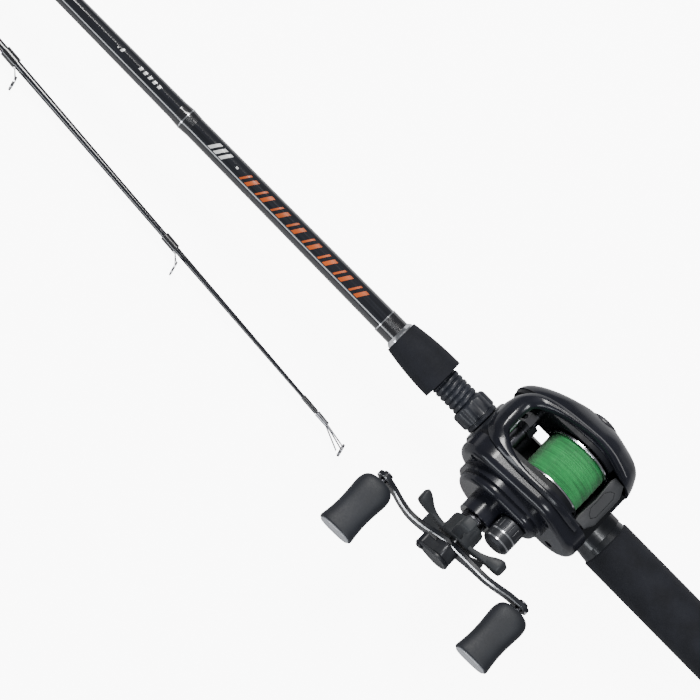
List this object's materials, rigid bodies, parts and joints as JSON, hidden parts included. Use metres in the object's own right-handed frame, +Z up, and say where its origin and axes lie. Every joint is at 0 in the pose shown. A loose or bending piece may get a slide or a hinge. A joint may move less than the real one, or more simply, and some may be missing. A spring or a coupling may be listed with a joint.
{
  "type": "fishing rod and reel",
  "caption": "Two-piece baitcasting rod with a left-hand low-profile reel: foam grips, trigger seat, star drag, level wind and double-knob handle, upper section laid beside",
  "frame": {"origin": "on the rod's axis in the middle of the rear grip", "axes": "+X along the rod from the butt to the tip, +Y to the handle side of the reel, +Z up from the rod to the reel"},
  "size_m": [1.3213, 0.1301, 0.0867],
  "materials": {
    "blank": "polished lacquer",
    "butt_cap": "satin",
    "eva_foam": "matt foam or rubber",
    "bright_trim": "polished",
    "wraps": "polished lacquer",
    "guide_frames": "turned",
    "guide_rings": "polished",
    "seat": "polished lacquer",
    "arbors": "satin",
    "lock_nut": "satin",
    "housing": "polished lacquer",
    "steel": "turned",
    "dial": "satin",
    "spool_metal": "polished",
    "braid": "braided line",
    "gear_brass": "cut teeth",
    "thumb_bar": "satin",
    "nylon": "satin",
    "dark_steel": "turned",
    "line_guide": "satin",
    "dark_metal": "anodised black",
    "knob_rubber": "matt foam or rubber",
    "knob_caps": "satin"
  },
  "bodies": {
    "rod_and_reel": {"butt_blank": "blank", "butt_cap": "butt_cap", "rear_grip": "eva_foam", "foregrip": "eva_foam", "winding_check": "bright_trim", "butt_wraps": "wraps", "trim_rings": "bright_trim", "stripper_frame": "guide_frames", "stripper_ring": "guide_rings", "reel_seat": "seat", "seat_arbors": "arbors", "reel_frame": "housing", "top_cover": "housing", "gear_cover": "housing", "cover_screws": "steel", "worm_cover": "dark_steel", "guide_bar": "bright_trim", "yoke_posts": "steel", "yoke_springs": "steel", "one_way_bearing": "steel", "frame_bearing": "steel"},
    "palm_side": {"palm_plate": "housing", "brake_magnets": "steel", "palm_bearing": "steel"},
    "brake_dial": {"brake_dial": "dial"},
    "sliding_hood": {"sliding_hood": "seat"},
    "lock_nut": {"lock_nut": "lock_nut"},
    "handle": {"drive_shaft": "steel", "main_gear": "gear_brass", "guide_cog": "nylon", "drag_washers": "steel", "drive_sleeve": "steel", "star_springs": "steel", "handle_arm": "dark_metal", "handle_nut": "dark_metal", "nut_retainer": "seat", "knob_posts": "steel"},
    "star": {"star_drag": "dark_metal"},
    "knob_front": {"knob_front": "knob_rubber", "knob_front_cap": "knob_caps"},
    "knob_rear": {"knob_rear": "knob_rubber", "knob_rear_cap": "knob_caps"},
    "spool": {"spool": "spool_metal", "spool_line": "braid", "spool_shaft": "steel"},
    "yoke": {"clutch_yoke": "steel"},
    "pinion": {"pinion": "gear_brass"},
    "thumb": {"thumb_bar": "thumb_bar", "clutch_cam": "steel"},
    "worm": {"guide_worm": "steel"},
    "guide": {"line_guide": "line_guide", "line_guide_insert": "guide_rings"},
    "cast_cap": {"cast_control_cap": "dark_metal", "cap_rings": "bright_trim"},
    "tip_section": {"tip_blank": "blank", "tip_guide_frames": "guide_frames", "tip_guide_rings": "guide_rings", "tip_wraps": "wraps", "tip_top_frame": "guide_frames", "tip_top_ring": "guide_rings"}
  },
  "joints": [
    {"name": "palm_side_off", "type": "slide", "parent": "rod_and_reel", "child": "palm_side", "axis": [0, -1, 0], "range_m": [0, 0.045]},
    {"name": "brake_dial_turn", "type": "hinge", "parent": "palm_side", "child": "brake_dial", "pos_m": [0.163, -0.0346, 0.028], "axis": [0, -1, 0], "range_deg": [0, 280]},
    {"name": "hood_slide", "type": "slide", "parent": "rod_and_reel", "child": "sliding_hood", "axis": [1, 0, 0], "range_m": [0, 0.0105]},
    {"name": "lock_nut_turn", "type": "hinge", "parent": "sliding_hood", "child": "lock_nut", "pos_m": [0.209, 0, 0], "axis": [1, 0, 0], "range_deg": [0, 1240]},
    {"name": "handle_turn", "type": "hinge", "parent": "rod_and_reel", "child": "handle", "pos_m": [0.1752, 0.04, 0.01906], "axis": [0, 1, 0], "continuous": true},
    {"name": "star_drag_turn", "type": "hinge", "parent": "handle", "child": "star", "pos_m": [0.1752, 0.048, 0.01906], "axis": [0, 1, 0], "range_deg": [-180, 180]},
    {"name": "knob_front_spin", "type": "hinge", "parent": "handle", "child": "knob_front", "pos_m": [0.21811, 0.076, 0.0141], "axis": [0, 1, 0], "continuous": true},
    {"name": "knob_rear_spin", "type": "hinge", "parent": "handle", "child": "knob_rear", "pos_m": [0.13229, 0.076, 0.02403], "axis": [0, 1, 0], "continuous": true},
    {"name": "spool_spin", "type": "hinge", "parent": "rod_and_reel", "child": "spool", "pos_m": [0.1613, 0, 0.0285], "axis": [0, 1, 0], "continuous": true},
    {"name": "thumb_press", "type": "slide", "parent": "rod_and_reel", "child": "thumb", "axis": [0, 0, -1], "range_m": [0, 0.005]},
    {"name": "yoke_slide", "type": "slide", "parent": "rod_and_reel", "child": "yoke", "axis": [0, 1, 0], "range_m": [0, 0.0035], "deforming": ["yoke_springs"]},
    {"name": "pinion_spin", "type": "hinge", "parent": "yoke", "child": "pinion", "pos_m": [0.1613, 0.02, 0.0285], "axis": [0, 1, 0], "continuous": true},
    {"name": "worm_spin", "type": "hinge", "parent": "rod_and_reel", "child": "worm", "pos_m": [0.18833, 0, 0.0222], "axis": [0, 1, 0], "continuous": true},
    {"name": "line_guide_travel", "type": "slide", "parent": "rod_and_reel", "child": "guide", "axis": [0, 1, 0], "range_m": [-0.0036, 0.0136]},
    {"name": "cast_control_turn", "type": "hinge", "parent": "rod_and_reel", "child": "cast_cap", "pos_m": [0.1613, 0.039, 0.0285], "axis": [0, 1, 0], "range_deg": [-360, 360]},
    {"name": "tip_section_lift", "type": "slide", "parent": "rod_and_reel", "child": "tip_section", "axis": [0, 0, 1], "range_m": [0, 0.1]}
  ],
  "couplings": [
    {"joint": "hood_slide", "follows": "lock_nut_turn", "m_per_rad": 0.00046155},
    {"joint": "spool_spin", "follows": "handle_turn", "ratio": -6.2727},
    {"joint": "pinion_spin", "follows": "handle_turn", "ratio": -6.2727},
    {"joint": "worm_spin", "follows": "handle_turn", "ratio": -1.3077},
    {"joint": "yoke_slide", "follows": "thumb_press", "ratio": 0.7}
  ]
}
